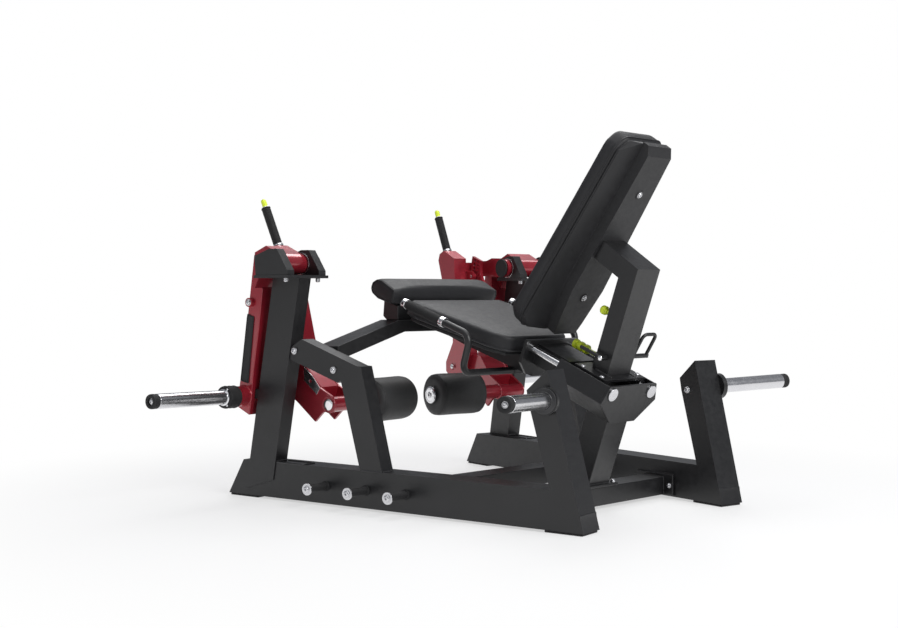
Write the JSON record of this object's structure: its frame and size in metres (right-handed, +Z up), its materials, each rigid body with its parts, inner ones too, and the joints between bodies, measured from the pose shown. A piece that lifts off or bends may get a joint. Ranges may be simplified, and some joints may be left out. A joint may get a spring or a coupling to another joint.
{
  "type": "leg extension machine",
  "caption": "Plate-loaded leg extension machine with two independent roller arms, sloping seat, sliding backrest and plate storage sleeves.",
  "frame": {"origin": "centre of the overall footprint, on the floor", "axes": "+X towards the seated user's left, -Y the way the user faces, +Z up"},
  "size_m": [2.2088, 1.5216, 1.2462],
  "materials": {
    "frame_paint": "satin powder coat, fine grain",
    "arm_paint": "deep metallic red, gloss",
    "chrome": "polished",
    "sleeve_steel": "brushed, satin chrome",
    "zinc": "bright zinc",
    "rubber": "matt moulded",
    "upholstery": "grained vinyl, semi matt",
    "foam": "smooth foam skin",
    "shell_plastic": "fine texture",
    "lime_plastic": "moulded"
  },
  "bodies": {
    "frame": {"left_side_frame": "frame_paint", "right_side_frame": "frame_paint", "upper_braces": "frame_paint", "front_crossmember": "frame_paint", "rear_crossmember": "frame_paint", "seat_front_beam": "frame_paint", "seat_spine": "frame_paint", "rear_column": "frame_paint", "guide_housing": "frame_paint", "housing_end_plate": "frame_paint", "guide_rods": "chrome", "seat_base": "shell_plastic", "seat_pad": "upholstery", "bolster_bracket": "frame_paint", "thigh_bolster": "upholstery", "grip_tubes": "frame_paint", "grip_sleeves": "rubber", "grip_ferrules": "chrome", "bearing_blocks": "frame_paint", "pivot_bearings": "zinc", "storage_sleeves": "sleeve_steel", "storage_end_caps": "rubber", "band_pegs": "rubber", "arm_bumpers": "rubber", "frame_bolts": "zinc", "floor_feet": "rubber"},
    "left_arm": {"left_pivot_tube": "arm_paint", "left_weight_arm": "arm_paint", "left_arm_panel": "shell_plastic", "left_arm_sleeve": "sleeve_steel", "left_arm_collar": "rubber", "left_arm_end_cap": "rubber", "left_sector_plate": "arm_paint"},
    "left_lever_unit": {"left_lever": "arm_paint", "left_scale_plate": "sleeve_steel", "left_roller_axle": "chrome", "left_lever_grip": "rubber"},
    "left_button": {"left_push_button": "lime_plastic"},
    "left_pin": {"left_selector_pin": "zinc"},
    "left_foam_roller": {"left_roller": "foam"},
    "right_arm": {"right_pivot_tube": "arm_paint", "right_weight_arm": "arm_paint", "right_arm_panel": "shell_plastic", "right_arm_sleeve": "sleeve_steel", "right_arm_collar": "rubber", "right_arm_end_cap": "rubber", "right_sector_plate": "arm_paint"},
    "right_lever_unit": {"right_lever": "arm_paint", "right_roller_axle": "chrome", "right_lever_grip": "rubber"},
    "right_button": {"right_push_button": "lime_plastic"},
    "right_pin": {"right_selector_pin": "zinc"},
    "right_foam_roller": {"right_roller": "foam"},
    "backrest": {"back_carriage": "frame_paint", "backrest_post": "frame_paint", "backrest_shell": "shell_plastic", "backrest_pad": "upholstery", "travel_buffer": "lime_plastic"},
    "latch_lever": {"release_lever": "frame_paint"},
    "latch_knob": {"pull_knob": "lime_plastic"}
  },
  "joints": [
    {"name": "left_arm_swing", "type": "hinge", "parent": "frame", "child": "left_arm", "pos_m": [0.61888, -0.39516, 0.825], "axis": [-0.986, -0.1668, 0], "range_deg": [0, 90]},
    {"name": "left_start_adjust", "type": "hinge", "parent": "left_arm", "child": "left_lever_unit", "pos_m": [0.50845, -0.41384, 0.825], "axis": [-0.986, -0.1668, 0], "range_deg": [-15, 30]},
    {"name": "left_button_press", "type": "slide", "parent": "left_lever_unit", "child": "left_button", "axis": [-0.0678, 0.401, -0.9135], "range_m": [0, 0.01]},
    {"name": "left_pin_retract", "type": "slide", "parent": "left_lever_unit", "child": "left_pin", "axis": [-0.986, -0.1668, 0], "range_m": [0, 0.014]},
    {"name": "left_roller_spin", "type": "hinge", "parent": "left_lever_unit", "child": "left_foam_roller", "pos_m": [0.18235, -0.37467, 0.333], "axis": [0.986, 0.1668, 0], "continuous": true},
    {"name": "right_arm_swing", "type": "hinge", "parent": "frame", "child": "right_arm", "pos_m": [-0.61888, -0.39516, 0.825], "axis": [-0.986, 0.1668, 0], "range_deg": [0, 90]},
    {"name": "right_start_adjust", "type": "hinge", "parent": "right_arm", "child": "right_lever_unit", "pos_m": [-0.50845, -0.41384, 0.825], "axis": [-0.986, 0.1668, 0], "range_deg": [-15, 30]},
    {"name": "right_button_press", "type": "slide", "parent": "right_lever_unit", "child": "right_button", "axis": [0.0678, 0.401, -0.9135], "range_m": [0, 0.01]},
    {"name": "right_pin_retract", "type": "slide", "parent": "right_lever_unit", "child": "right_pin", "axis": [0.986, -0.1668, 0], "range_m": [0, 0.014]},
    {"name": "right_roller_spin", "type": "hinge", "parent": "right_lever_unit", "child": "right_foam_roller", "pos_m": [-0.18235, -0.37467, 0.333], "axis": [-0.986, 0.1668, 0], "continuous": true},
    {"name": "backrest_slide", "type": "slide", "parent": "frame", "child": "backrest", "axis": [0, -0.9252, 0.3795], "range_m": [0, 0.08]},
    {"name": "release_lever_pull", "type": "hinge", "parent": "backrest", "child": "latch_lever", "pos_m": [0, 0.556, 0.512], "axis": [-1, 0, 0], "range_deg": [0, 20]},
    {"name": "knob_pull", "type": "slide", "parent": "backrest", "child": "latch_knob", "axis": [0, -0.9409, 0.3387], "range_m": [0, 0.01]}
  ],
  "couplings": [
    {"joint": "left_pin_retract", "follows": "left_button_press", "ratio": 1.4},
    {"joint": "right_pin_retract", "follows": "right_button_press", "ratio": 1.4}
  ]
}
